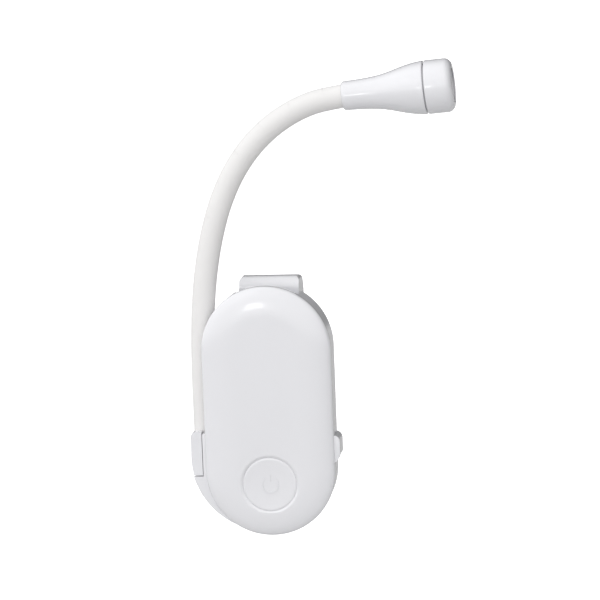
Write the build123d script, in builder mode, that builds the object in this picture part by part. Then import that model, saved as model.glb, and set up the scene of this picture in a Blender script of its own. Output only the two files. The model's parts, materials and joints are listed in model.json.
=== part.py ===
from build123d import *

import os
from math import cos, degrees, radians, sin

# Clip-on reading lamp, in millimetres. X is to the right, the front looks along -Y and Z is up.
# The origin is at the mouth of the clip: on the grip plane (Y = 0), on the middle line of the
# housing, level with the housing's lowest point. "Forward" below is the distance in front of
# the grip plane, so a point that is 10 forward is at Y = -10.

# Housing
body_width = 40.0
body_height = 77.6
rim_forward = 10.0  # parting plane of the two shells
back_forward = 0.8  # rear face of the housing
wall = 1.6
dome_rise = 4.2  # front face above the parting plane
dome_side = 1.2  # straight side below the dome's rounded border
dome_border = 10.0  # width of the rounded border
rear_inset = 0.3  # the rear shell stands this far inside the front shell's edge

# Lug on the right, ledge and shoulder on the left
lug_reach = 21.7
lug_low = 22.7
lug_high = 30.9
lug_rise = 1.2
ledge_reach = 20.9
shoulder_reach = 24.0
shoulder_top = 18.5

# Button, switch, board and charging port
button_z = 16.4
button_hole_radius = 8.95
button_gap = 0.3
button_sunk = 0.3
cap_thickness = 1.2
cap_flange_radius = 9.8
cap_flange_thickness = 0.7
button_travel = 0.5
flange_play = button_travel + 0.1  # room behind the flange
board_width = 19.0
board_low = 5.2
board_high = 44.0
board_thickness = 1.0
board_back = 10.2
switch_size = 6.0
switch_height = 1.0
plunger_radius = 1.5
plunger_length = 0.8
port_width = 8.94
port_height = 3.2
port_length = 7.3
port_forward = 8.2
port_mouth_z = 0.9

# Battery
cell_width = 18.0
cell_low = 35.6
cell_high = 66.6
cell_thickness = 5.2
tape_thickness = 0.5

# Shell screws
screw_spots = ((-12.0, 56.0), (12.0, 56.0), (-12.5, 12.5), (12.5, 12.5))
screw_radius = 1.0
screw_head_radius = 1.9
screw_head_height = 1.2
screw_length = 8.5
boss_radius = 2.4
boss_meet = 4.0  # where the two shells' bosses touch
counterbore_depth = 1.6

# Clip
lever_width = 18.6
lever_back = 11.2  # Y of the lever's flat back
lever_plate = 2.0
lever_low = 2.2
tab_low = 70.5
tab_top = 78.6
tab_front = 0.2
pin_z = 27.0
pin_forward = 5.0
pin_radius = 1.25
pin_left = -16.0
pin_right = 20.6
knuckle_radius = 3.3
knuckle_play = 0.05
bay_half_width = 9.7
bay_low = 21.6
bay_high = 33.2
bay_front = 8.6
notch_half_width = 10.2
notch_floor = 69.3
pad_gap = 0.15  # from each pad's face to the grip plane
pad_low = 2.9
pad_high = 8.5
pad_half_width = 8.4

# Torsion spring
spring_wire = 0.35
spring_radius = 2.4
spring_turns = 5
spring_pitch = 1.3
back_leg = 13.6
front_leg = 3.1

# Neck: straight out of its socket, then runs that each bend by their own angle
neck_radius = 3.6
neck_bore = 1.8
core_radius = 1.5
neck_x = -20.7
neck_forward = 4.9
neck_foot_z = 21.0
socket_low = 18.8
socket_top = 32.5
socket_reach = 24.6
socket_right = -16.4
groove_x = -16.2
groove_front = 8.7
neck_gap = 1.05  # between two sleeve pieces, room for a joint to bend 15 degrees
ball_play = 0.05
segment_length = 10.5
segment_turns = (4.1, 4.6, 7.0, 9.8, 12.4, 13.0, 14.0, 15.1)
root_runs = ((29.5, 0.0), (22.0, 5.5))
head_grip = 4.0
neck_runs = root_runs + tuple((segment_length, turn) for turn in segment_turns) + ((head_grip, 0.0),)

# Head, measured along its axis from where the neck goes in
cone_length = 25.3
cone_rear_radius = 4.4
cone_front_radius = 8.15
seam = 0.4
bezel_length = 8.2
bezel_radius = 8.15
bezel_round = 2.0
opening_radius = 5.4
head_bore = 6.9

low_centre = body_width / 2
high_centre = body_height - body_width / 2
front_forward = rim_forward + dome_rise
inner_forward = front_forward - wall
flange_back = inner_forward - 0.05 - cap_flange_thickness
board_front = board_back + board_thickness
lever_half = lever_width / 2

os.makedirs("parts", exist_ok=True)


def facing(forward):
    """Sketch plane seen from the front, at a distance forward: x is X and y is Z."""
    return Plane.XZ.offset(forward)


def behind(forward):
    """Plane seen from behind, at a distance forward: x is -X and y is Z."""
    return Plane(origin=(0, -forward, 0), x_dir=(-1, 0, 0), z_dir=(0, 1, 0))


def beside(x):
    """Sketch plane seen from the side: x is Y and y is Z."""
    return Plane.YZ.offset(x)


def save(builder, name):
    builder.part.label = name
    export_step(builder.part, f"parts/{name}.step")


# ---------------------------------------------------------------- outlines
def pill(inset):
    """Adds the housing's pill outline to the open sketch, drawn in by inset."""
    with Locations((0, body_height / 2)):
        SlotOverall(body_height - 2 * inset, body_width - 2 * inset, rotation=90)


def block(left, right, low, high, mode=Mode.ADD):
    """Adds a rectangle between two sides and two heights to the open sketch."""
    with Locations(((left + right) / 2, (low + high) / 2)):
        Rectangle(right - left, high - low, mode=mode)


def lug(inset):
    """Adds the D shape that stands out on the right, round the end of the pin."""
    reach = lug_reach - inset
    with BuildLine() as outline:
        FilletPolyline(
            (body_width / 2 - 3, lug_low + inset),
            (reach - 1.3, lug_low + inset),
            (reach, lug_low + 1.6),
            (reach, lug_high - inset),
            (body_width / 2 - 3, lug_high - inset),
            radius=[0.6, 0.8, 2.2],
        )
        Line((body_width / 2 - 3, lug_high - inset), (body_width / 2 - 3, lug_low + inset))
    make_face(outline.edges())


def shoulder(inset):
    """Adds the fairing that carries the neck socket and runs down into the pill's bottom arc."""
    reach = -shoulder_reach + inset
    foot = (-9.0, low_centre - ((low_centre - inset) ** 2 - 81.0) ** 0.5)
    with BuildLine() as outline:
        ThreePointArc((reach, shoulder_top), (-19.0 + inset, 9.4 + inset), foot)
        Polyline(foot, (-9.0, shoulder_top), (reach, shoulder_top))
    make_face(outline.edges())


# ---------------------------------------------------------------- front shell
def dome_section():
    """Adds half of the front shell's cross section: flat front, rounded border, straight side."""
    outer = body_width / 2
    border_start = outer - dome_border
    spring_line = -(rim_forward + dome_side)
    with BuildLine() as outline:
        Line((0, -front_forward), (border_start, -front_forward))
        EllipticalCenterArc(
            (border_start, spring_line), dome_border, dome_rise - dome_side, start_angle=270, arc_size=90
        )
        Polyline(
            (outer, spring_line),
            (outer, -rim_forward),
            (outer - wall, -rim_forward),
            (outer - wall, spring_line),
        )
        EllipticalCenterArc(
            (border_start, spring_line),
            dome_border - wall,
            dome_rise - dome_side - wall,
            start_angle=270,
            arc_size=90,
        )
        Polyline((border_start, -inner_forward), (0, -inner_forward), (0, -front_forward))
    make_face(outline.edges())


with BuildPart() as front_shell:
    # lug, shoulder and ledge beside the pill
    with BuildSketch(facing(rim_forward)):
        shoulder(0)
        lug(0)
        block(-ledge_reach, -body_width / 2 + 2, shoulder_top, socket_top)
    extrude(amount=lug_rise)
    with BuildSketch(facing(rim_forward)):
        pill(wall)
    extrude(amount=lug_rise, mode=Mode.SUBTRACT)
    for centre_z, turn in ((low_centre, 1), (high_centre, -1)):
        with BuildSketch(Plane.XY.offset(centre_z)):
            dome_section()
        revolve(axis=Axis((0, 0, centre_z), (0, turn, 0)), revolution_arc=180)
    with BuildSketch(Plane.XY.offset(low_centre)):
        dome_section()
        mirror(about=Plane.YZ)
    extrude(amount=high_centre - low_centre)
    with BuildSketch(facing(boss_meet)):
        with Locations(*screw_spots):
            Circle(boss_radius)
            Circle(screw_radius + ball_play, mode=Mode.SUBTRACT)
    extrude(amount=inner_forward - boss_meet + 0.2)
    # flat seat for the button's flange
    with BuildSketch(facing(flange_back - flange_play)):
        with Locations((0, button_z)):
            Circle(cap_flange_radius + 0.3)
    extrude(amount=inner_forward - flange_back + flange_play, mode=Mode.SUBTRACT)
    with BuildSketch(facing(rim_forward)):
        with Locations((0, button_z)):
            Circle(button_hole_radius)
    extrude(amount=dome_rise + 1, mode=Mode.SUBTRACT)
save(front_shell, "front_shell")


# ---------------------------------------------------------------- rear shell
rear_depth = rim_forward - back_forward

with BuildPart() as rear_shell:
    with BuildSketch(facing(rim_forward)):
        pill(rear_inset)
        shoulder(rear_inset)
        lug(rear_inset)
    extrude(amount=-rear_depth)
    with BuildSketch(facing(rim_forward)):
        pill(rear_inset + wall)
        block(-bay_half_width - wall, bay_half_width + wall, bay_low - wall, bay_high + 1.4, Mode.SUBTRACT)
        block(-notch_half_width - wall, notch_half_width + wall, notch_floor - 1.2, 80, Mode.SUBTRACT)
        block(-25, groove_x + 1.4, shoulder_top - 1.4, body_height, Mode.SUBTRACT)
    extrude(amount=-(rear_depth - wall), mode=Mode.SUBTRACT)
    with BuildSketch(facing(back_forward)):
        with Locations(*screw_spots):
            Circle(boss_radius + 0.6)
    extrude(amount=boss_meet - back_forward)
    # bay for the lever's knuckles, and the notch that the finger tab is squeezed into
    with BuildSketch(facing(back_forward)):
        block(-bay_half_width, bay_half_width, bay_low, bay_high)
    extrude(amount=bay_front - back_forward, mode=Mode.SUBTRACT)
    with BuildSketch(facing(back_forward)):
        block(-notch_half_width, notch_half_width, notch_floor, body_height + 2)
    extrude(amount=bay_front - back_forward, mode=Mode.SUBTRACT)
    # groove that the neck lies in, open to the left
    with BuildSketch(facing(back_forward)):
        block(-26, groove_x, shoulder_top, body_height)
    extrude(amount=groove_front - back_forward, mode=Mode.SUBTRACT)
    with BuildSketch(beside(pin_left - 0.4)):
        with Locations((-pin_forward, pin_z)):
            Circle(pin_radius + 0.02)
    extrude(amount=pin_right + 0.1 - pin_left + 0.4, mode=Mode.SUBTRACT)
    with BuildSketch(Plane.XY.offset(-1)):
        with Locations((0, -port_forward)):
            RectangleRounded(port_width + 0.4, port_height + 0.3, 1.6)
    extrude(amount=5, mode=Mode.SUBTRACT)
    with Locations(behind(back_forward)):
        with Locations(*screw_spots):
            CounterBoreHole(screw_radius + 0.15, screw_head_radius + 0.2, counterbore_depth, depth=8)
save(rear_shell, "rear_shell")


# ---------------------------------------------------------------- button, switch and board
cap_front = front_forward - button_sunk
cap_back = cap_front - cap_thickness
cap_radius = button_hole_radius - button_gap
plunger_top = cap_back - 0.05

with BuildPart() as button_cap:
    with BuildSketch(facing(cap_back)):
        with Locations((0, button_z)):
            Circle(cap_radius)
    extrude(amount=cap_thickness)
    fillet(button_cap.edges().group_by(Axis.Y)[0], radius=0.5)
    # skirt and flange that keep the cap behind its hole
    for radius, rise in ((cap_radius, cap_back + 0.2 - flange_back), (cap_flange_radius, cap_flange_thickness)):
        with BuildSketch(facing(flange_back)):
            with Locations((0, button_z)):
                Circle(radius)
                Circle(cap_radius - 1.2, mode=Mode.SUBTRACT)
        extrude(amount=rise)
    # shallow dish under the fingertip
    with BuildSketch(facing(cap_front - 0.25)):
        with Locations((0, button_z)):
            Circle(5.6)
    extrude(amount=1, taper=-30, mode=Mode.SUBTRACT)
save(button_cap, "button_cap")

with BuildPart() as switch_plunger:
    with BuildSketch(facing(plunger_top)):
        with Locations((0, button_z)):
            Circle(plunger_radius)
    extrude(amount=-plunger_length)
save(switch_plunger, "switch_plunger")

with BuildPart() as tact_switch:
    with BuildSketch(facing(board_front)):
        with Locations((0, button_z)):
            Rectangle(switch_size, switch_size)
    extrude(amount=switch_height)
    with BuildSketch(facing(board_front + 0.1)):
        with Locations((0, button_z)):
            Circle(plunger_radius + 0.1)
    extrude(amount=switch_height, mode=Mode.SUBTRACT)
save(tact_switch, "tact_switch")

with BuildPart() as main_board:
    with BuildSketch(facing(board_back)):
        block(-board_width / 2, board_width / 2, board_low, board_high)
        fillet(vertices(), radius=1.5)
    extrude(amount=board_thickness)
    with BuildSketch(facing(board_front)):
        for centre_x, centre_z, width, height in ((-4, 30, 5, 4), (4.5, 33, 3, 3), (4, 26.5, 2.4, 1.6)):
            with Locations((centre_x, centre_z)):
                Rectangle(width, height)
    extrude(amount=0.8)
save(main_board, "main_board")

with BuildPart() as charging_port:
    with BuildSketch(Plane.XY.offset(port_mouth_z)):
        with Locations((0, -port_forward)):
            RectangleRounded(port_width, port_height, 1.5)
    extrude(amount=port_length)
    with BuildSketch(Plane.XY.offset(port_mouth_z)):
        with Locations((0, -port_forward)):
            RectangleRounded(port_width - 0.6, port_height - 0.6, 1.2)
            Rectangle(port_width - 2.3, 0.7, mode=Mode.SUBTRACT)
    extrude(amount=port_length - 1.0, mode=Mode.SUBTRACT)
    with BuildSketch(facing(port_forward + port_height / 2 - 0.3)):
        for side in (-1, 1):
            with Locations((side * 3.4, port_mouth_z + 5.6)):
                Rectangle(1.2, 1.6)
    extrude(amount=board_back - port_forward - port_height / 2 + 0.3)
save(charging_port, "charging_port")


# ---------------------------------------------------------------- battery
cell_back = back_forward + wall + tape_thickness

with BuildPart() as battery_cell:
    with BuildSketch(facing(cell_back)):
        block(-cell_width / 2, cell_width / 2, cell_low, cell_high)
        fillet(vertices(), radius=1.2)
    extrude(amount=cell_thickness)
    fillet(battery_cell.edges().group_by(Axis.Y)[0] + battery_cell.edges().group_by(Axis.Y)[-1], radius=0.8)
save(battery_cell, "battery_cell")

with BuildPart() as battery_tape:
    with BuildSketch(facing(back_forward + wall)):
        block(-cell_width / 2 + 2, cell_width / 2 - 2, cell_low + 4, cell_high - 4)
    extrude(amount=tape_thickness)
save(battery_tape, "battery_tape")


# ---------------------------------------------------------------- screws
head_back = back_forward + counterbore_depth - screw_head_height

with BuildPart() as shell_screws:
    with BuildSketch(facing(head_back)):
        with Locations(*screw_spots):
            Circle(screw_head_radius)
    extrude(amount=screw_head_height)
    with BuildSketch(facing(head_back + screw_head_height)):
        with Locations(*screw_spots):
            Circle(screw_radius)
    extrude(amount=screw_length - screw_head_height)
    for angle in (0, 90):
        with BuildSketch(facing(head_back)):
            with Locations(*screw_spots):
                Rectangle(2.2, 0.5, rotation=angle)
        extrude(amount=0.7, mode=Mode.SUBTRACT)
save(shell_screws, "shell_screws")


# ---------------------------------------------------------------- clip
with BuildPart() as clip_lever:
    # side view of the strip: jaw, back plate and the deep finger tab at the top
    with BuildSketch(beside(0)):
        with BuildLine():
            FilletPolyline(
                (0.95, lever_low),
                (0.95, 9.2),
                (5.6, 11.6),
                (lever_back - lever_plate, 18.0),
                (lever_back - lever_plate, tab_low),
                (tab_front, tab_low),
                (tab_front, tab_top),
                (lever_back, tab_top),
                (lever_back, 17.4),
                (6.9, 9.9),
                (2.95, 7.6),
                (2.95, lever_low),
                radius=[0.5, 2.0, 4.0, 1.0, 0.6, 3.0, 3.4, 6.0, 4.0, 1.5, 0.9, 0.5],
                close=True,
            )
        make_face()
    extrude(amount=lever_half, both=True)
    # rounded corners, as seen from the front
    with BuildSketch(facing(0)):
        with Locations((0, (lever_low + tab_top) / 2)):
            RectangleRounded(lever_width, tab_top - lever_low, 1.4)
    extrude(amount=20, both=True, mode=Mode.INTERSECT)
    with BuildSketch(Plane.XY.offset(tab_low - 1)):
        with Locations((0, (tab_front + lever_back) / 2)):
            Rectangle(lever_width - 2 * lever_plate, lever_back - tab_front - 2 * lever_plate)
    extrude(amount=tab_top - tab_low - lever_plate + 1, mode=Mode.SUBTRACT)
    # side cheeks with the knuckles that turn on the pin
    for side in (-1, 1):
        with BuildSketch(beside(side * lever_half)):
            with BuildLine():
                Polyline(
                    (-pin_forward, pin_z + knuckle_radius),
                    (-back_forward, 31.4),
                    (0.9, 32.7),
                    (7.1, tab_low + 0.5),
                    (lever_back - 0.8, tab_low + 0.5),
                    (lever_back - 0.8, 21.0),
                    (3.5, 22.6),
                    (-pin_forward, pin_z - knuckle_radius),
                    close=True,
                )
            make_face()
            with Locations((-pin_forward, pin_z)):
                Circle(knuckle_radius)
                Circle(pin_radius + knuckle_play, mode=Mode.SUBTRACT)
        extrude(amount=-side * lever_plate)
    # finger grooves across the upper back
    with BuildSketch(behind(-lever_back)):
        for row in range(6):
            with Locations((0, 55.0 + 2.6 * row)):
                SlotOverall(lever_width - 5, 1.1)
    extrude(amount=-0.4, mode=Mode.SUBTRACT)
save(clip_lever, "clip_lever")


def grip_pad(seat, face):
    """Adds a ribbed rubber pad between two forward distances, with its teeth at the face."""
    with BuildSketch(facing(seat)) as slab:
        block(-pad_half_width, pad_half_width, pad_low, pad_high)
        fillet(slab.vertices(), radius=1.0)
    extrude(slab.sketch, amount=face - seat)
    with BuildSketch(facing(face)) as grooves:
        for row in range(3):
            with Locations((0, pad_low + 1.4 + 1.4 * row)):
                Rectangle(2 * pad_half_width - 2, 0.5)
    extrude(grooves.sketch, amount=(seat - face) * 0.4, mode=Mode.SUBTRACT)


with BuildPart() as body_pad:
    grip_pad(back_forward, pad_gap)
save(body_pad, "body_pad")

with BuildPart() as lever_pad:
    grip_pad(-0.95, -pad_gap)
save(lever_pad, "lever_pad")

with BuildPart() as hinge_pin:
    with BuildSketch(beside(pin_left)):
        with Locations((-pin_forward, pin_z)):
            Circle(pin_radius)
    extrude(amount=pin_right - pin_left)
    chamfer(hinge_pin.edges().filter_by(GeomType.CIRCLE), length=0.3)
save(hinge_pin, "hinge_pin")

coil_length = spring_turns * spring_pitch

with BuildPart() as torsion_spring:
    with BuildLine() as coil:
        Helix(
            pitch=spring_pitch,
            height=coil_length,
            radius=spring_radius,
            center=(-coil_length / 2, -pin_forward, pin_z),
            direction=(1, 0, 0),
        )
    with BuildSketch(Plane(origin=coil.line @ 0, z_dir=coil.line % 0)):
        Circle(spring_wire)
    sweep()
    # one leg back to the lever's plate, the other forward to the bay's front wall
    legs = ((coil.line @ 0, (coil.line % 0) * -1, back_leg), (coil.line @ 1, coil.line % 1, front_leg))
    for start, heading, length in legs:
        with BuildSketch(Plane(origin=start, z_dir=heading)):
            Circle(spring_wire)
        extrude(amount=length)
save(torsion_spring, "torsion_spring")


# ---------------------------------------------------------------- neck
def along_neck(distance):
    """Point and lean from upright, in degrees, at a distance along the neck's middle line."""
    point = Vector(neck_x, -neck_forward, neck_foot_z)
    lean = 0.0
    for length, turn in neck_runs:
        step = min(distance, length)
        up = Vector(sin(lean), 0, cos(lean))
        across = Vector(cos(lean), 0, -sin(lean))
        if turn:
            radius = length / radians(turn)
            angle = step / radius
            point = point + across * (radius * (1 - cos(angle))) + up * (radius * sin(angle))
            lean += angle
        else:
            point = point + up * step
        distance -= step
        if distance <= 1e-6:
            break
    return point, degrees(lean)


def neck_plane(distance):
    """Plane square to the neck at a distance along it, looking towards the head."""
    point, lean = along_neck(distance)
    return Plane(origin=point, x_dir=(0, 1, 0), z_dir=(sin(radians(lean)), 0, cos(radians(lean))))


def neck_tube(start, end, radius, bore):
    """Adds the neck's tube between two distances, one piece for each run that it crosses."""
    run_start = 0.0
    for length, turn in neck_runs:
        low = max(start, run_start)
        high = min(end, run_start + length)
        if high - low > 1e-6:
            plane = neck_plane(low)
            with BuildSketch(plane) as ring:
                Circle(radius)
                if bore:
                    Circle(bore, mode=Mode.SUBTRACT)
            if turn:
                curve_radius = length / radians(turn)
                axis_point = plane.origin + Vector(plane.z_dir.Z, 0, -plane.z_dir.X) * curve_radius
                bend = degrees((high - low) / curve_radius)
                revolve(ring.sketch, axis=Axis(axis_point, (0, 1, 0)), revolution_arc=bend)
            else:
                extrude(ring.sketch, amount=high - low)
        run_start += length


root_length = sum(length for length, turn in root_runs)
joint_distances = [root_length + segment_length * step for step in range(len(segment_turns))]
neck_end = root_length + segment_length * len(segment_turns)

with BuildPart() as neck_sleeve_root:
    neck_tube(0, root_length - neck_gap / 2, neck_radius, neck_bore)
save(neck_sleeve_root, "neck_sleeve_root")

with BuildPart() as neck_core_root:
    neck_tube(0, root_length, core_radius, None)
    with Locations(along_neck(root_length)[0]):
        Sphere(core_radius + ball_play, mode=Mode.SUBTRACT)
save(neck_core_root, "neck_core_root")

for number, joint_at in enumerate(joint_distances, start=1):
    last = number == len(joint_distances)
    next_joint = joint_at + segment_length
    sleeve_end = neck_end + head_grip if last else next_joint - neck_gap / 2
    core_end = sleeve_end if last else next_joint
    with BuildPart() as sleeve:
        neck_tube(joint_at + neck_gap / 2, sleeve_end, neck_radius, neck_bore)
    save(sleeve, f"neck_sleeve_{number}")
    with BuildPart() as core:
        neck_tube(joint_at, core_end, core_radius, None)
        with Locations(along_neck(joint_at)[0]):
            Sphere(core_radius)
        if not last:
            with Locations(along_neck(next_joint)[0]):
                Sphere(core_radius + ball_play, mode=Mode.SUBTRACT)
    save(core, f"neck_core_{number}")
    place, lean = along_neck(joint_at)
    print(f"neck joint {number}: X {place.X:.3f} Y {place.Y:.3f} Z {place.Z:.3f} lean {lean:.2f}")

with BuildPart() as neck_socket:
    with BuildSketch(facing(0.6)):
        with BuildLine():
            FilletPolyline(
                (socket_right, socket_low),
                (-shoulder_reach, socket_low),
                (-socket_reach, 22.6),
                (-socket_reach, socket_top),
                (socket_right, socket_top),
                radius=[0.3, 3.0, 1.8],
            )
            Line((socket_right, socket_top), (socket_right, socket_low))
        make_face()
    extrude(amount=rim_forward + 0.8 - 0.6)
    with BuildSketch(facing(groove_front - 0.2)):
        block(-ledge_reach - 0.25, 0, socket_low - 1, socket_top + 1)
    extrude(amount=5, mode=Mode.SUBTRACT)
    with BuildSketch(neck_plane(0)):
        Circle(neck_radius + ball_play)
    extrude(amount=20, mode=Mode.SUBTRACT)
save(neck_socket, "neck_socket")


# ---------------------------------------------------------------- head
head_origin, head_lean = along_neck(neck_end)
head_plane = Plane(
    origin=head_origin, x_dir=(sin(radians(head_lean)), 0, cos(radians(head_lean))), z_dir=(0, -1, 0)
)
head_axis = Axis(head_origin, head_plane.x_dir)
board_seat = 22.6
bezel_rear = cone_length + seam
bezel_front = bezel_rear + bezel_length
print(f"head: X {head_origin.X:.3f} Z {head_origin.Z:.3f} lean {head_lean:.2f}")

with BuildPart() as head_cone:
    with BuildSketch(head_plane):
        with BuildLine():
            Line((0, neck_radius + ball_play), (0, cone_rear_radius - 0.5))
            RadiusArc((0, cone_rear_radius - 0.5), (0.5, cone_rear_radius), 0.5)
            Spline(
                (0.5, cone_rear_radius),
                (8.0, 4.75),
                (14.5, 5.9),
                (20.0, 7.3),
                (cone_length, cone_front_radius),
                tangents=((1, 0.02), (1, 0.08)),
            )
            Polyline(
                (cone_length, cone_front_radius),
                (cone_length, head_bore),
                (board_seat, head_bore),
                (board_seat, head_bore - 0.9),
                (19.5, 5.6),
                (12.0, 3.4),
                (8.0, neck_bore),
                (head_grip + 0.2, neck_bore),
                (head_grip + 0.2, neck_radius + ball_play),
                (0, neck_radius + ball_play),
            )
        make_face()
    revolve(axis=head_axis)
save(head_cone, "head_cone")

with BuildPart() as bezel_ring:
    with BuildSketch(head_plane):
        with BuildLine():
            FilletPolyline(
                (bezel_rear, bezel_radius),
                (bezel_front, bezel_radius),
                (bezel_front, opening_radius),
                (bezel_front - 1.6, opening_radius),
                (bezel_front - 1.6, head_bore - 0.2),
                (bezel_rear - 1.5, head_bore - 0.7),
                (bezel_rear - 1.5, head_bore - 0.05),
                (bezel_rear, head_bore - 0.05),
                radius=[0.4, bezel_round, 0.5, 0.2, 0.2, 0.1, 0.1, 0.1],
                close=True,
            )
        make_face()
    revolve(axis=head_axis)
save(bezel_ring, "bezel_ring")

lens_front = bezel_front - 1.65
lens_crown = 0.75
lens_curve = (5.0**2 + lens_crown**2) / (2 * lens_crown)

with BuildPart() as lens:
    with BuildSketch(head_plane):
        with BuildLine():
            Polyline((lens_front - 1.2, 0), (lens_front - 1.2, 6.4), (lens_front, 6.4), (lens_front, 5.0))
            RadiusArc((lens_front, 5.0), (lens_front + lens_crown, 0), lens_curve)
            Line((lens_front + lens_crown, 0), (lens_front - 1.2, 0))
        make_face()
    revolve(axis=head_axis)
save(lens, "lens")

with BuildPart() as led_board:
    with BuildSketch(head_plane):
        with BuildLine():
            Polyline(
                (board_seat + 0.05, 0),
                (board_seat + 0.05, head_bore - 0.1),
                (board_seat + 1.25, head_bore - 0.1),
                (board_seat + 1.25, 0),
                close=True,
            )
        make_face()
    revolve(axis=head_axis)
save(led_board, "led_board")

board_face = board_seat + 1.25

with BuildPart() as led_chip:
    chip_plane = Plane(
        origin=head_origin + head_plane.x_dir * board_face, x_dir=(0, 1, 0), z_dir=head_plane.x_dir
    )
    with BuildSketch(chip_plane):
        Rectangle(3.5, 3.5)
    extrude(amount=0.7)
    with BuildSketch(chip_plane.offset(0.7)):
        Circle(1.4)
    extrude(amount=0.35)
save(led_chip, "led_chip")

with BuildPart() as reflector:
    with BuildSketch(head_plane):
        with BuildLine():
            Polyline(
                (board_face + 0.1, 3.0),
                (board_face + 0.1, 3.6),
                (lens_front - 1.35, 6.3),
                (lens_front - 1.35, 5.7),
                close=True,
            )
        make_face()
    revolve(axis=head_axis)
save(reflector, "reflector")
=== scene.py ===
import json
from math import atan2, cos, pi, radians, sin

import bmesh
import bpy
from bpy.props import FloatProperty, FloatVectorProperty, PointerProperty
from mathutils import Matrix, Vector


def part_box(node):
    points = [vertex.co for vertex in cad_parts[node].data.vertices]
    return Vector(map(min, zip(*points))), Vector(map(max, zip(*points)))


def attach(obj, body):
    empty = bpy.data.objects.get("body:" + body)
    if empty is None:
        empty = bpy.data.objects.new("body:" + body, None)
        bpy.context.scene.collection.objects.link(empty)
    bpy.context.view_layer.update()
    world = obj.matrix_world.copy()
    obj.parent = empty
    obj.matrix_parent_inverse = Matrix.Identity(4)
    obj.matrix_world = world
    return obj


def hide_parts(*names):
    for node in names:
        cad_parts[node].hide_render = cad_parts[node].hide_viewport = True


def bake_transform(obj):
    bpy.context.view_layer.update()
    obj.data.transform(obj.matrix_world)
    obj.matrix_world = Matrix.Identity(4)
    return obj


bl_info = {
    "name": "Clip-on reading lamp",
    "version": (1, 0, 0),
    "blender": (4, 5, 0),
    "location": "View3D > Sidebar > Reading lamp",
    "description": "Builds the visible pieces of a clip-on reading lamp around its frame",
    "category": "Object",
}

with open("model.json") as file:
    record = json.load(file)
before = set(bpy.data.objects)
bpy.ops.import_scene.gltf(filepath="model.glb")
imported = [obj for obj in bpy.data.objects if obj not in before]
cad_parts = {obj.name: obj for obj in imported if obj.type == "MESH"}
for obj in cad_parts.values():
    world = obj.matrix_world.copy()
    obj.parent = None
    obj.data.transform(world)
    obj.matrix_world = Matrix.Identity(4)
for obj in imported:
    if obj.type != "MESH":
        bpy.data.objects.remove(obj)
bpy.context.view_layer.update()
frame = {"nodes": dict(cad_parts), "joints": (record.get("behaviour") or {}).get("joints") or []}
MM = 0.001
FRONT = Vector((0, -1, 0))

# Places and sizes that are read from the frame
RIM_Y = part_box("rear_shell")[0][1]
DOME_LOW, DOME_HIGH = (Vector(corner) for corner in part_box("front_shell"))
CAP_LOW, CAP_HIGH = (Vector(corner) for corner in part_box("button_cap"))
NECK_FOOT = Vector(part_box("neck_core_root")[0])
JOINTS = {joint["name"]: joint for joint in frame["joints"]}
FRONT_Y = DOME_LOW.y
BUTTON_Z = (CAP_LOW.z + CAP_HIGH.z) / 2

# Sizes of the front shell
PILL_RADIUS = 20 * MM
SHELL_SIDE = 1.2 * MM  # straight side below the rounded border
SHELL_WALL = 1.6 * MM
SIDE_ROOT = 18.6 * MM  # where the pieces on the pill's sides start, inside the shell
SOCKET_SEAT = 18.5 * MM  # height of the seam below the neck socket
MOUTH_RADIUS = 8.35 * MM

# Sizes of the head, in millimetres along its axis
HEAD_LEAN = radians(85.5)
BOARD_SEAT = 22.6
BOARD_HALF = 0.65
BEZEL_REAR = 25.7
BEZEL_FRONT = 33.9


# ------------------------------------------------------------------ user settings
class LampSizes(bpy.types.PropertyGroup):
    """Sizes of the visible detail"""

    edge_round: FloatProperty(
        name="Edge rounding", description="Radius on the moulded edges", default=0.25 * MM, unit="LENGTH"
    )
    sleeve_radius: FloatProperty(
        name="Sleeve radius", description="Outer radius of the neck's sleeve", default=3.6 * MM, unit="LENGTH"
    )
    dome_border: FloatProperty(
        name="Dome border", description="Width of the front's rounded border", default=10.0 * MM, unit="LENGTH"
    )
    icon_height: FloatProperty(
        name="Icon height", description="How far the button's mark stands up", default=0.2 * MM, unit="LENGTH"
    )


class LampColours(bpy.types.PropertyGroup):
    """Colours of the finishes"""

    shell: FloatVectorProperty(
        name="Shell", description="Moulded housing", default=(0.74, 0.74, 0.765), subtype="COLOR", size=3
    )
    sleeve: FloatVectorProperty(
        name="Sleeve", description="Neck sleeve", default=(0.76, 0.75, 0.745), subtype="COLOR", size=3
    )
    pad: FloatVectorProperty(
        name="Pads", description="Rubber grip pads", default=(0.45, 0.45, 0.46), subtype="COLOR", size=3
    )
    backdrop: FloatVectorProperty(
        name="Backdrop", description="Floor", default=(0.6, 0.6, 0.6), subtype="COLOR", size=3
    )


# ------------------------------------------------------------------ mesh helpers
def new_object(name, bm, smooth=30.0):
    """Makes a shaded object of a bmesh, with its edges sharp above an angle in degrees."""
    bmesh.ops.remove_doubles(bm, verts=bm.verts, dist=1e-7)
    bmesh.ops.recalc_face_normals(bm, faces=bm.faces)
    mesh = bpy.data.meshes.new(name)
    bm.to_mesh(mesh)
    bm.free()
    obj = bpy.data.objects.new(name, mesh)
    bpy.context.scene.collection.objects.link(obj)
    shade(obj, smooth)
    return obj


def shade(obj, angle):
    """Smooth faces, with the edges above an angle in degrees kept sharp."""
    for polygon in obj.data.polygons:
        polygon.use_smooth = True
    obj.data.set_sharp_from_angle(angle=radians(angle))


def settle(obj, smooth=30.0):
    """Applies the modifiers of an object to its mesh."""
    graph = bpy.context.evaluated_depsgraph_get()
    graph.update()
    mesh = bpy.data.meshes.new_from_object(obj.evaluated_get(graph))
    obj.modifiers.clear()
    obj.data = mesh
    shade(obj, smooth)
    return obj


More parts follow.
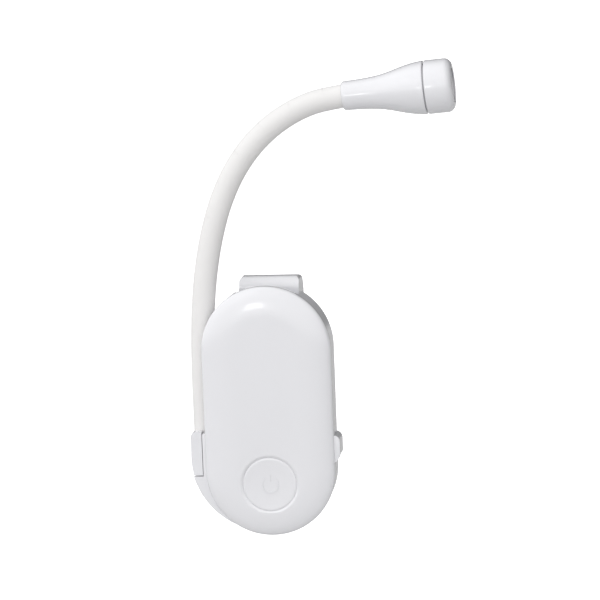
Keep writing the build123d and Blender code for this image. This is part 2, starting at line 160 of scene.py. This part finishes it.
def combine(obj, tools, operation):
    """Adds tool solids to an object or cuts them away, and removes the tools."""
    for tool in tools:
        modifier = obj.modifiers.new("cut", "BOOLEAN")
        modifier.object = tool
        modifier.operation = operation
        modifier.solver = "EXACT"
    settle(obj)
    for tool in tools:
        bpy.data.objects.remove(tool)
    return obj


def soften(obj, width, angle=40.0, segments=3):
    """Rounds every edge of an object that is sharper than an angle."""
    modifier = obj.modifiers.new("edge", "BEVEL")
    modifier.width = width
    modifier.segments = segments
    modifier.limit_method = "ANGLE"
    modifier.angle_limit = radians(angle)
    modifier.use_clamp_overlap = True
    return settle(obj)


def rounded(corners, steps=8):
    """Closed outline through (x, y, radius) corners, each rounded by a tangent arc."""
    points = []
    for index, (x, y, radius) in enumerate(corners):
        here = Vector((x, y))
        back = Vector(corners[index - 1][:2]) - here
        ahead = Vector(corners[(index + 1) % len(corners)][:2]) - here
        if radius <= 0:
            points.append(here)
            continue
        half = back.angle(ahead) / 2
        reach = min(radius / max(abs(sin(half) / cos(half)), 1e-6), back.length * 0.499, ahead.length * 0.499)
        radius = reach * abs(sin(half) / cos(half))
        middle = here + (back.normalized() + ahead.normalized()).normalized() * (radius / sin(half))
        first = here + back.normalized() * reach - middle
        last = here + ahead.normalized() * reach - middle
        start = atan2(first.y, first.x)
        sweep = (atan2(last.y, last.x) - start + pi) % (2 * pi) - pi
        for step in range(steps + 1):
            angle = start + sweep * step / steps
            points.append(middle + Vector((cos(angle), sin(angle))) * radius)
    return points


def extrude(bm, faces):
    """Extrudes faces in place and gives the new vertices and the new faces."""
    grown = bmesh.ops.extrude_face_region(bm, geom=faces)["geom"]
    verts = [item for item in grown if isinstance(item, bmesh.types.BMVert)]
    return verts, [item for item in grown if isinstance(item, bmesh.types.BMFace)]


def quarter(steps, first=0):
    """Sine and cosine at even steps over a quarter turn."""
    angles = [pi / 2 * step / steps for step in range(first, steps + 1)]
    return [(sin(angle), cos(angle)) for angle in angles]


def smooth_step(a, b, way_a, way_b, t):
    """Point at a share t of a smooth stretch that leaves a along way_a and reaches b along way_b."""
    return (
        a * (2 * t**3 - 3 * t**2 + 1)
        + way_a * (t**3 - 2 * t**2 + t)
        + b * (-2 * t**3 + 3 * t**2)
        + way_b * (t**3 - t**2)
    )


def prism(name, outline, place, start, depth):
    """Closed solid of an outline in a plane. place(u, v, w) gives the point at a depth w."""
    bm = bmesh.new()
    verts = [bm.verts.new(place(u, v, start)) for u, v in outline]
    face = bm.faces.new(verts)
    moved, _ = extrude(bm, [face])
    shift = place(0, 0, start + depth) - place(0, 0, start)
    bmesh.ops.translate(bm, verts=moved, vec=shift)
    return new_object(name, bm)


def from_front(u, v, w):
    """A point of an outline seen from the front: X, Z and a depth along Y."""
    return Vector((u, w, v))


def turned(name, profile, origin, axis, steps=96, smooth=30.0):
    """Solid of revolution. The profile is a closed loop of (along, radius) about the axis."""
    axis = Vector(axis).normalized()
    side = axis.orthogonal().normalized()
    bm = bmesh.new()
    verts = [bm.verts.new(origin + axis * along + side * radius) for along, radius in profile]
    edges = [bm.edges.new((verts[i - 1], verts[i])) for i in range(len(verts))]
    bmesh.ops.spin(
        bm, geom=verts + edges, cent=origin, axis=axis, dvec=(0, 0, 0), angle=2 * pi, steps=steps, use_merge=True
    )
    return new_object(name, bm, smooth)


# ------------------------------------------------------------------ outlines of the housing
def pill_outline(inset, steps=64):
    """The housing's pill, drawn in by inset, seen from the front."""
    radius = PILL_RADIUS - inset
    low_centre = DOME_LOW.z + PILL_RADIUS
    high_centre = DOME_HIGH.z - PILL_RADIUS
    points = []
    for centre, start in ((high_centre, 0.0), (low_centre, pi)):
        for step in range(steps + 1):
            angle = start + pi * step / steps
            points.append(Vector((cos(angle) * radius, centre + sin(angle) * radius)))
    return points


def lug_outline():
    """The D shape on the right that holds the pin's end."""
    reach = DOME_HIGH.x
    low, high = 22.7 * MM, 30.9 * MM
    slant_x, slant_z = 1.3 * MM, 1.6 * MM  # of the lower corner
    return rounded(
        [
            (SIDE_ROOT, low, 0),
            (reach - slant_x, low, 0.6 * MM),
            (reach, low + slant_z, 0.9 * MM),
            (reach, high, 2.2 * MM),
            (SIDE_ROOT, high, 0),
        ]
    )


def shoulder_outline(steps=24):
    """The fairing at the lower left that carries the neck socket."""
    centre, radius = Vector((-1.5 * MM, 24.5 * MM)), 23.25 * MM
    start = atan2(SOCKET_SEAT - centre.y, -24.0 * MM - centre.x)
    finish = atan2(-22.9, -5.2)
    points = []
    for step in range(steps + 1):
        angle = start + (finish - start) * step / steps
        points.append(centre + Vector((cos(angle), sin(angle))) * radius)
    return points + [Vector((-6.7 * MM, SOCKET_SEAT))]


def ledge_outline():
    """The narrow ledge between the pill's left side and the neck socket."""
    outside = -20.9 * MM
    return rounded(
        [
            (outside, SOCKET_SEAT, 0),
            (-SIDE_ROOT, SOCKET_SEAT, 0),
            (-SIDE_ROOT, 32.5 * MM, 0),
            (outside, 31.8 * MM, 0.5 * MM),
        ]
    )


# ------------------------------------------------------------------ shader groups
def group_socket(tree, name, kind, way, value=None):
    """Adds one named socket to a node group."""
    socket = tree.interface.new_socket(name=name, in_out=way, socket_type=kind)
    if value is not None:
        socket.default_value = value
    return socket


def moulded_skin_group():
    """Group: faint mottling and fine texture of a moulded white plastic."""
    tree = bpy.data.node_groups.new("moulded_skin", "ShaderNodeTree")
    group_socket(tree, "Base", "NodeSocketColor", "INPUT", (0.8, 0.8, 0.8, 1))
    group_socket(tree, "Mottle", "NodeSocketFloat", "INPUT", 0.02)
    group_socket(tree, "Gloss", "NodeSocketFloat", "INPUT", 0.2)
    group_socket(tree, "Gloss spread", "NodeSocketFloat", "INPUT", 0.06)
    group_socket(tree, "Grain scale", "NodeSocketFloat", "INPUT", 900.0)
    group_socket(tree, "Color", "NodeSocketColor", "OUTPUT")
    group_socket(tree, "Roughness", "NodeSocketFloat", "OUTPUT")
    group_socket(tree, "Height", "NodeSocketFloat", "OUTPUT")
    nodes, link = tree.nodes, tree.links.new
    entry = nodes.new("NodeGroupInput")
    result = nodes.new("NodeGroupOutput")
    place = nodes.new("ShaderNodeTexCoord")
    cloud = nodes.new("ShaderNodeTexNoise")
    cloud.inputs["Scale"].default_value = 55.0
    cloud.inputs["Detail"].default_value = 3.0
    grain = nodes.new("ShaderNodeTexNoise")
    grain.inputs["Detail"].default_value = 4.0
    link(place.outputs["Object"], cloud.inputs["Vector"])
    link(place.outputs["Object"], grain.inputs["Vector"])
    link(entry.outputs["Grain scale"], grain.inputs["Scale"])
    shift = nodes.new("ShaderNodeMath")
    shift.operation = "SUBTRACT"
    shift.inputs[1].default_value = 0.5
    link(cloud.outputs["Fac"], shift.inputs[0])
    amount = nodes.new("ShaderNodeMath")
    amount.operation = "MULTIPLY"
    link(shift.outputs[0], amount.inputs[0])
    link(entry.outputs["Mottle"], amount.inputs[1])
    tone = nodes.new("ShaderNodeMath")
    tone.operation = "ADD"
    tone.inputs[1].default_value = 1.0
    link(amount.outputs[0], tone.inputs[0])
    shaded = nodes.new("ShaderNodeVectorMath")
    shaded.operation = "SCALE"
    link(entry.outputs["Base"], shaded.inputs[0])
    link(tone.outputs[0], shaded.inputs["Scale"])
    link(shaded.outputs[0], result.inputs["Color"])
    rough = nodes.new("ShaderNodeMath")
    rough.operation = "MULTIPLY_ADD"
    link(grain.outputs["Fac"], rough.inputs[0])
    link(entry.outputs["Gloss spread"], rough.inputs[1])
    link(entry.outputs["Gloss"], rough.inputs[2])
    link(rough.outputs[0], result.inputs["Roughness"])
    link(grain.outputs["Fac"], result.inputs["Height"])
    return tree


def finish_material(name, colour, gloss, grain, bump, mottle=0.02, spread=0.06, **fixed):
    """A material of the moulded skin, with its own colour, gloss, grain and relief."""
    material = bpy.data.materials.new(name)
    material.use_nodes = True
    tree = material.node_tree
    shader = tree.nodes["Principled BSDF"]
    skin = tree.nodes.new("ShaderNodeGroup")
    skin.node_tree = bpy.data.node_groups.get("moulded_skin") or moulded_skin_group()
    skin.inputs["Base"].default_value = (*colour, 1.0)
    skin.inputs["Mottle"].default_value = mottle
    skin.inputs["Gloss"].default_value = gloss
    skin.inputs["Gloss spread"].default_value = spread
    skin.inputs["Grain scale"].default_value = grain
    relief = tree.nodes.new("ShaderNodeBump")
    relief.inputs["Strength"].default_value = bump
    relief.inputs["Distance"].default_value = 0.02 * MM
    tree.links.new(skin.outputs["Color"], shader.inputs["Base Color"])
    tree.links.new(skin.outputs["Roughness"], shader.inputs["Roughness"])
    tree.links.new(skin.outputs["Height"], relief.inputs["Height"])
    tree.links.new(relief.outputs["Normal"], shader.inputs["Normal"])
    for socket, value in fixed.items():
        shader.inputs[socket.replace("_", " ").title().replace("Ior", "IOR")].default_value = value
    return material


def finish_of(name):
    """The material of a name, made on first use."""
    made = bpy.data.materials.get(name)
    if made:
        return made
    colours = bpy.context.scene.lamp_colours
    recipes = {
        "gloss_shell": dict(colour=colours.shell, gloss=0.16, grain=1400, bump=0.05, coat_weight=0.35),
        "soft_sleeve": dict(
            colour=colours.sleeve, gloss=0.5, grain=2200, bump=0.35, mottle=0.03, spread=0.12, sheen_weight=0.3
        ),
        "grip_rubber": dict(colour=colours.pad, gloss=0.62, grain=3000, bump=0.6, mottle=0.08),
        "black_nylon": dict(colour=(0.03, 0.03, 0.032), gloss=0.45, grain=1500, bump=0.2),
        "bright_steel": dict(
            colour=(0.62, 0.62, 0.63), gloss=0.22, grain=2600, bump=0.2, mottle=0.1, metallic=1.0
        ),
        "zinc_steel": dict(
            colour=(0.55, 0.56, 0.58), gloss=0.34, grain=2600, bump=0.3, mottle=0.15, metallic=1.0
        ),
        "green_board": dict(colour=(0.03, 0.18, 0.08), gloss=0.3, grain=900, bump=0.3, mottle=0.2),
        "foil_pouch": dict(
            colour=(0.66, 0.67, 0.69), gloss=0.36, grain=500, bump=0.9, mottle=0.1, metallic=0.85
        ),
        "foam_tape": dict(colour=(0.8, 0.8, 0.76), gloss=0.8, grain=2500, bump=0.9, mottle=0.1),
        "mirror_cup": dict(colour=(0.82, 0.82, 0.83), gloss=0.12, grain=1200, bump=0.08, metallic=1.0),
        "phosphor": dict(colour=(0.85, 0.72, 0.2), gloss=0.5, grain=3000, bump=0.3),
        "clear_lens": dict(
            colour=(0.93, 0.95, 0.97), gloss=0.04, grain=1200, bump=0.02, transmission_weight=0.9, ior=1.49
        ),
    }
    return finish_material(name, **recipes[name])


def dress(obj, finish):
    """Gives a piece one finish."""
    obj.data.materials.clear()
    obj.data.materials.append(finish_of(finish))
    return obj


# ------------------------------------------------------------------ operators
class LAMP_OT_front_shell(bpy.types.Operator):
    """Front shell: domed pill with its lug, ledge and shoulder"""

    bl_idname = "lamp.front_shell"
    bl_label = "Front shell"

    def dome(self, name, inset, sink):
        """Solid dome over the pill: straight side, then an elliptical border up to the flat front."""
        sizes = bpy.context.scene.lamp_sizes
        rise = RIM_Y - FRONT_Y - SHELL_SIDE - sink
        border = sizes.dome_border - inset
        bm = bmesh.new()
        verts = [bm.verts.new(from_front(u, v, RIM_Y + sink * 2)) for u, v in pill_outline(inset)]
        moved, top = extrude(bm, [bm.faces.new(verts)])
        bmesh.ops.translate(bm, verts=moved, vec=FRONT * (SHELL_SIDE + sink * 2))
        turns = quarter(20)
        for (low_sin, low_cos), (high_sin, high_cos) in zip(turns, turns[1:]):
            moved, grown = extrude(bm, top)
            bmesh.ops.delete(bm, geom=top, context="FACES_ONLY")
            top = grown
            for vert in moved:
                centre = max(min(vert.co.z, DOME_HIGH.z - PILL_RADIUS), DOME_LOW.z + PILL_RADIUS)
                spoke = Vector((vert.co.x, 0, vert.co.z - centre))
                vert.co -= spoke.normalized() * border * (low_cos - high_cos)
                vert.co.y -= rise * (high_sin - low_sin)
        return new_object(name, bm)

    def execute(self, context):
        sizes = context.scene.lamp_sizes
        shell = self.dome("shell_front", 0.0, 0.0)
        outlines = {"lug": lug_outline(), "shoulder": shoulder_outline(), "ledge": ledge_outline()}
        added = [prism(name, outline, from_front, RIM_Y, -SHELL_SIDE) for name, outline in outlines.items()]
        combine(shell, added, "UNION")
        hollow = self.dome("hollow", SHELL_WALL, SHELL_WALL)
        # mouth of the button, with a soft rounding at its outer edge
        front = RIM_Y - FRONT_Y
        flare, deep = 1.0 * MM, 0.5 * MM
        behind, beyond = -5 * MM, front + 3 * MM
        steps = 10
        profile = [(behind, 0), (behind, MOUTH_RADIUS)]
        for step in range(steps + 1):
            share = step / steps
            profile.append((front - deep * (1 - sin(share * pi / 2)), MOUTH_RADIUS + flare * share))
        profile += [(beyond, MOUTH_RADIUS + flare), (beyond, 0)]
        mouth = turned("mouth", profile, Vector((0, RIM_Y, BUTTON_Z)), FRONT, steps=128)
        combine(shell, [hollow, mouth], "DIFFERENCE")
        soften(shell, sizes.edge_round)
        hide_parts("front_shell")
        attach(shell, "housing")
        dress(shell, "gloss_shell")
        return {"FINISHED"}


class LAMP_OT_button(bpy.types.Operator):
    """Button: dished cap with a faint generic power mark"""

    bl_idname = "lamp.button"
    bl_label = "Button"

    def execute(self, context):
        sizes = context.scene.lamp_sizes
        radius = MOUTH_RADIUS - 0.02 * MM
        front = -CAP_LOW.y
        back = front - (CAP_HIGH.y - CAP_LOW.y)
        round_off, round_height = 0.6 * MM, 0.2 * MM
        skirt, thickness = 1.2 * MM, 1.0 * MM
        flange_radius, flange_thickness = 9.8 * MM, 0.7 * MM
        hollow = 0.35 * MM * 0.9  # depth of the dish at its middle
        round_steps, dish_steps = 8, 12
        profile = [
            (back, radius - skirt),
            (back, flange_radius),
            (back + flange_thickness, flange_radius),
            (back + flange_thickness, radius),
        ]
        for step in range(round_steps + 1):
            share = step / round_steps
            profile.append((front - round_height * (1 - sin(share * pi / 2)), radius - round_off * share))
        for step in range(1, dish_steps + 1):
            share = step / dish_steps
            profile.append((front - hollow * (1 - (1 - share) ** 2), (radius - round_off) * (1 - share)))
        profile += [(front - thickness, 0), (front - thickness, radius - skirt)]
        origin = Vector((0, 0, BUTTON_Z))
        cap = turned("cap_of_button", profile, origin, FRONT, steps=128, smooth=40)
        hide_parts("button_cap")
        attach(cap, "button")
        dress(cap, "gloss_shell")
        # open ring and bar, the usual mark for power
        depth = 0.3 * MM
        root = depth - (front - hollow) - sizes.icon_height
        steps = 48
        gap = radians(38)
        inner, outer = 2.2 * MM, 2.75 * MM
        ring = []
        for edge, order in ((outer, range(steps + 1)), (inner, range(steps, -1, -1))):
            for step in order:
                angle = pi / 2 + gap + (2 * pi - 2 * gap) * step / steps
                ring.append((cos(angle) * edge, BUTTON_Z + sin(angle) * edge))
        mark = prism("power_mark", ring, from_front, root, -depth)
        half, corner = 0.28 * MM, 0.2 * MM
        foot, tip = BUTTON_Z + 0.9 * MM, BUTTON_Z + 3.0 * MM
        corners = [(-half, foot, corner), (half, foot, corner), (half, tip, corner), (-half, tip, corner)]
        bar = prism("bar", rounded(corners), from_front, root, -depth)
        combine(mark, [bar], "UNION")
        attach(mark, "button")
        dress(mark, "gloss_shell")
        return {"FINISHED"}


class LAMP_OT_neck(bpy.types.Operator):
    """Neck: one smooth sleeve in spans that meet at the middle of each neck piece"""

    bl_idname = "lamp.neck"
    bl_label = "Neck"

    def route(self):
        """Knots of the neck's middle line, from the socket to inside the head."""
        names = ["neck_bend", "neck_sway"] + [
            f"neck_bend_{n}" if n % 2 else f"neck_sway_{n}" for n in range(3, 9)
        ]
        places = [Vector(JOINTS[name]["pos_m"]) for name in names]
        foot = Vector((NECK_FOOT.x + 1.5 * MM, places[0].y, NECK_FOOT.z))
        straight = [foot, Vector((foot.x, foot.y, 36 * MM)), Vector((foot.x, foot.y, 50.5 * MM))]
        middle = Vector((foot.x + 0.28 * MM, foot.y, 61.5 * MM))
        inside = HEAD_FOOT + HEAD_AXIS * 3.5 * MM
        return straight + [middle] + places + [HEAD_FOOT, inside]

    def walk(self, knots, steps=14):
        """Points along a smooth line through the knots, listed for each stretch between two."""
        ways = []
        for index in range(len(knots)):
            before = knots[max(index - 1, 0)]
            after = knots[min(index + 1, len(knots) - 1)]
            ways.append((after - before).normalized())
        stretches = []
        for index in range(len(knots) - 1):
            a, b = knots[index], knots[index + 1]
            reach = (b - a).length
            way_a, way_b = ways[index] * reach, ways[index + 1] * reach
            stretches.append([smooth_step(a, b, way_a, way_b, step / steps) for step in range(steps + 1)])
        return stretches

    def span(self, name, points, radius):
        """Closed tube along a list of points."""
        curve = bpy.data.curves.new(name, "CURVE")
        curve.dimensions = "3D"
        curve.bevel_depth = radius
        curve.bevel_resolution = 12
        curve.use_fill_caps = True
        spline = curve.splines.new("POLY")
        spline.points.add(len(points) - 1)
        for knot, point in zip(spline.points, points):
            knot.co = (*point, 1)
        raw = bpy.data.objects.new(name + "_line", curve)
        mesh = bpy.data.meshes.new_from_object(raw)
        bpy.data.objects.remove(raw)
        bm = bmesh.new()
        bm.from_mesh(mesh)
        bpy.data.meshes.remove(mesh)
        return new_object(name, bm, smooth=50)

    def execute(self, context):
        radius = context.scene.lamp_sizes.sleeve_radius
        knots = self.route()
        stretches = self.walk(knots)
        half = len(stretches[0]) // 2
        first = 3  # the stretch that ends at the first joint; those before it stay with the housing
        fixed = [point for stretch in stretches[:first] for point in stretch[:-1]]
        fixed += stretches[first][: half + 1]
        root = self.span("sleeve_root", fixed, radius)
        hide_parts("neck_sleeve_root")
        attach(root, "housing")
        dress(root, "soft_sleeve")
        for number in range(1, 9):
            before = stretches[first + number - 1]
            after = stretches[first + number]
            points = before[half:] + after[1 : half + 1]
            piece = self.span(f"sleeve_bend_{number}", points, radius)
            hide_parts(f"neck_sleeve_{number}")
            dress(piece, "soft_sleeve")
            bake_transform(piece)
        tail = stretches[first + 8][half:] + stretches[first + 9][1:]
        end = self.span("sleeve_end", tail, radius)
        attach(end, "neck_8")
        dress(end, "soft_sleeve")
        return {"FINISHED"}


def head_axis_and_foot():
    """Unit vector along the head and the point where the neck goes in, from the place of its board."""
    low, high = (Vector(corner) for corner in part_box("led_board"))
    way = Vector((sin(HEAD_LEAN), 0, cos(HEAD_LEAN)))
    return way, (low + high) / 2 - way * (BOARD_SEAT + BOARD_HALF) * MM


HEAD_AXIS, HEAD_FOOT = head_axis_and_foot()


class LAMP_OT_head(bpy.types.Operator):
    """Head: flared cone, seam, bezel ring and lens"""

    bl_idname = "lamp.head"
    bl_label = "Head"

    def solid(self, name, profile, steps=128):
        """Solid of revolution about the head's axis, from a profile in millimetres."""
        profile = [(along * MM, radius * MM) for along, radius in profile]
        return turned(name, profile, HEAD_FOOT, HEAD_AXIS, steps=steps, smooth=35)

    def cone_profile(self):
        """Nearly straight behind, flaring and then straightening towards the seam."""
        stations = [
            (0.9, 4.42),
            (4, 4.52),
            (8, 4.78),
            (11.5, 5.2),
            (14.5, 5.85),
            (17.3, 6.65),
            (20, 7.35),
            (BOARD_SEAT, 7.85),
            (24.9, 8.12),
        ]
        hole = 3.62
        back_length, back_height = 0.9, 0.8
        front, front_radius, edge = 25.3, 8.14, 0.35
        outer = [(back_length - back_length * s, hole + back_height * c) for s, c in reversed(quarter(7))]
        knots = [Vector(station) for station in stations]
        steps = 8
        for index in range(len(knots) - 1):
            before = knots[max(index - 1, 0)]
            after = knots[min(index + 2, len(knots) - 1)]
            a, b = knots[index], knots[index + 1]
            way_a = (b - before) / (b.x - before.x) * (b.x - a.x)
            way_b = (after - a) / (after.x - a.x) * (b.x - a.x)
            outer += [tuple(smooth_step(a, b, way_a, way_b, step / steps)) for step in range(steps)]
        outer += [(front - edge + edge * s, front_radius - edge + edge * c) for s, c in quarter(5)]
        seat_radius, wire_hole = 6.95, 2.2
        inner = [
            (front, seat_radius),
            (BOARD_SEAT, seat_radius),
            (BOARD_SEAT, 6.0),
            (19.5, 5.6),
            (12.0, 3.6),
            (8.0, wire_hole),
            (4.2, wire_hole),
            (4.2, hole),
        ]
        return outer + inner

    def bezel_profile(self):
        """Straight side, rounded front edge and a lip round the opening."""
        rear, front = BEZEL_REAR, BEZEL_FRONT
        radius, turn, edge = 8.15, 2.3, 0.35
        lip, lip_radius, lip_wave = 0.22, 5.45, 0.15
        lip_steps = 8
        ring = [(rear, 7.0), (rear, radius - edge)]
        ring += [(rear + edge * (1 - c), radius - edge + edge * s) for s, c in quarter(5, first=1)]
        ring += [(front - turn + turn * s, radius - turn + turn * c) for s, c in quarter(16)]
        for step in range(1, lip_steps + 1):
            angle = pi * step / lip_steps
            ring.append((front - lip + lip * cos(angle), lip_radius + lip_wave * cos(angle * 2) - lip_wave))
        seat, spigot, spigot_radius = front - 1.5, rear - 1.4, 6.85
        return ring + [
            (seat, 5.35),
            (seat, 6.7),
            (spigot, 6.2),
            (spigot, spigot_radius),
            (rear - 0.1, spigot_radius),
        ]

    def lens_profile(self):
        """Plate with a low crown."""
        plate, thickness, rim = BEZEL_FRONT - 1.6, 1.2, 6.3
        crown_radius, crown_height = 5.0, 0.75
        steps = 12
        glass = [(plate - thickness, 0), (plate - thickness, rim), (plate, rim), (plate, crown_radius)]
        for step in range(1, steps + 1):
            share = step / steps
            glass.append((plate + crown_height * (1 - (1 - share) ** 2), crown_radius * (1 - share)))
        return glass

    def execute(self, context):
        cone = self.solid("cone_of_head", self.cone_profile())
        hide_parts("head_cone")
        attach(cone, "neck_8")
        dress(cone, "gloss_shell")
        bezel = self.solid("bezel_of_head", self.bezel_profile())
        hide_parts("bezel_ring")
        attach(bezel, "neck_8")
        dress(bezel, "gloss_shell")
        lens = self.solid("lens_of_head", self.lens_profile(), steps=96)
        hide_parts("lens")
        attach(lens, "neck_8")
        dress(lens, "clear_lens")
        return {"FINISHED"}


class LAMP_OT_plain_nodes(bpy.types.Operator):
    """Finishes for the pieces whose shape comes straight from the frame"""

    bl_idname = "lamp.plain_nodes"
    bl_label = "Remaining pieces"

    def execute(self, context):
        finishes = {
            "rear_shell": "gloss_shell",
            "neck_socket": "gloss_shell",
            "clip_lever": "gloss_shell",
            "switch_plunger": "black_nylon",
            "tact_switch": "zinc_steel",
            "main_board": "green_board",
            "charging_port": "bright_steel",
            "battery_cell": "foil_pouch",
            "battery_tape": "foam_tape",
            "shell_screws": "zinc_steel",
            "body_pad": "grip_rubber",
            "lever_pad": "grip_rubber",
            "hinge_pin": "bright_steel",
            "torsion_spring": "zinc_steel",
            "neck_core_root": "zinc_steel",
            "led_board": "green_board",
            "led_chip": "phosphor",
            "reflector": "mirror_cup",
        }
        for number in range(1, 9):
            finishes[f"neck_core_{number}"] = "zinc_steel"
        for node, finish in finishes.items():
            obj = frame["nodes"][node]
            for slot in obj.material_slots:
                slot.material = finish_of(finish)
        return {"FINISHED"}


class LAMP_OT_stage(bpy.types.Operator):
    """Floor, soft lights and camera"""

    bl_idname = "lamp.stage"
    bl_label = "Stage"

    def light(self, name, place, target, size, power):
        """Soft square light at a place, turned to a target."""
        data = bpy.data.lights.new(name, "AREA")
        data.size = size
        data.energy = power
        obj = bpy.data.objects.new(name, data)
        obj.location = place
        obj.rotation_euler = (Vector(target) - Vector(place)).to_track_quat("-Z", "Y").to_euler()
        bpy.context.scene.collection.objects.link(obj)

    def world(self):
        """White surroundings whose light on the lamp comes mostly from the front left and above."""
        world = bpy.data.worlds.new("studio")
        world.use_nodes = True
        nodes, link = world.node_tree.nodes, world.node_tree.links.new
        sky = nodes["Background"]
        way = nodes.new("ShaderNodeTexCoord")
        facing = nodes.new("ShaderNodeVectorMath")
        facing.operation = "DOT_PRODUCT"
        facing.inputs[1].default_value = Vector((-0.5, -0.8, 0.12)).normalized()
        ramp = nodes.new("ShaderNodeMapRange")
        ramp.interpolation_type = "SMOOTHSTEP"
        ramp.inputs["From Min"].default_value = -0.6
        ramp.inputs["From Max"].default_value = 0.35
        ramp.inputs["To Min"].default_value = 0.05
        ramp.inputs["To Max"].default_value = 1.42
        seen = nodes.new("ShaderNodeLightPath")
        choose = nodes.new("ShaderNodeMix")
        choose.inputs["B"].default_value = 1.0
        link(way.outputs["Generated"], facing.inputs[0])
        link(facing.outputs["Value"], ramp.inputs["Value"])
        link(seen.outputs["Is Camera Ray"], choose.inputs["Factor"])
        link(ramp.outputs["Result"], choose.inputs["A"])
        link(choose.outputs["Result"], sky.inputs["Strength"])
        sky.inputs["Color"].default_value = (1, 1, 1, 1)
        return world

    def floor(self, colour):
        """Wide pale floor, well below the lamp."""
        bm = bmesh.new()
        bmesh.ops.create_grid(bm, x_segments=1, y_segments=1, size=8.0)
        bmesh.ops.translate(bm, vec=(0, 0, -0.3), verts=bm.verts)
        floor = new_object("floor", bm)
        material = bpy.data.materials.new("pale_floor")
        material.use_nodes = True
        shader = material.node_tree.nodes["Principled BSDF"]
        shader.inputs["Base Color"].default_value = (*colour, 1)
        shader.inputs["Roughness"].default_value = 0.9
        seen = material.node_tree.nodes.new("ShaderNodeLightPath")
        material.node_tree.links.new(seen.outputs["Is Camera Ray"], shader.inputs["Emission Strength"])
        shader.inputs["Emission Color"].default_value = (0.85, 0.85, 0.85, 1)
        floor.data.materials.append(material)

    def execute(self, context):
        scene = context.scene
        middle = Vector((0.0110, RIM_Y, 0.0730))
        self.floor(scene.lamp_colours.backdrop)
        scene.world = self.world()
        scene.view_settings.view_transform = "Standard"
        self.light("key", (-0.5, -0.75, 0.7), middle, 0.5, 0.3)
        self.light("glint", (-0.19, -0.88, 0.206), (-0.0035, FRONT_Y, 0.072), 0.12, 0.28)
        data = bpy.data.cameras.new("camera")
        data.lens = 200
        data.sensor_width = 36
        camera = bpy.data.objects.new("camera", data)
        around, above, roll = radians(8.0), radians(9.0), radians(-2.2)
        seen = 0.1829  # width of the view at the housing
        distance = seen * data.lens / data.sensor_width
        way = Vector((sin(around) * cos(above), -cos(around) * cos(above), sin(above)))
        camera.location = middle + way * distance
        turn = (-way).to_track_quat("-Z", "Y").to_matrix().to_4x4() @ Matrix.Rotation(roll, 4, "Z")
        camera.rotation_euler = turn.to_euler()
        scene.collection.objects.link(camera)
        scene.camera = camera
        return {"FINISHED"}


class LAMP_PT_panel(bpy.types.Panel):
    """Sidebar panel that lists the lamp's pieces"""

    bl_idname = "LAMP_PT_panel"
    bl_label = "Reading lamp"
    bl_space_type = "VIEW_3D"
    bl_region_type = "UI"
    bl_category = "Reading lamp"

    def draw(self, context):
        layout = self.layout
        for group in (context.scene.lamp_sizes, context.scene.lamp_colours):
            for name in group.bl_rna.properties.keys():
                if name not in ("rna_type", "name"):
                    layout.prop(group, name)
        for operator in OPERATORS:
            layout.operator(operator.bl_idname)


OPERATORS = (
    LAMP_OT_stage,
    LAMP_OT_plain_nodes,
    LAMP_OT_front_shell,
    LAMP_OT_button,
    LAMP_OT_neck,
    LAMP_OT_head,
)
CLASSES = (LampSizes, LampColours) + OPERATORS + (LAMP_PT_panel,)


def register():
    for item in CLASSES:
        bpy.utils.register_class(item)
    bpy.types.Scene.lamp_sizes = PointerProperty(type=LampSizes)
    bpy.types.Scene.lamp_colours = PointerProperty(type=LampColours)


def unregister():
    del bpy.types.Scene.lamp_sizes
    del bpy.types.Scene.lamp_colours
    for item in reversed(CLASSES):
        bpy.utils.unregister_class(item)


def main():
    register()
    for operator in OPERATORS:
        category, name = operator.bl_idname.split(".")
        getattr(getattr(bpy.ops, category), name)()


if __name__ == "__main__":
    main()
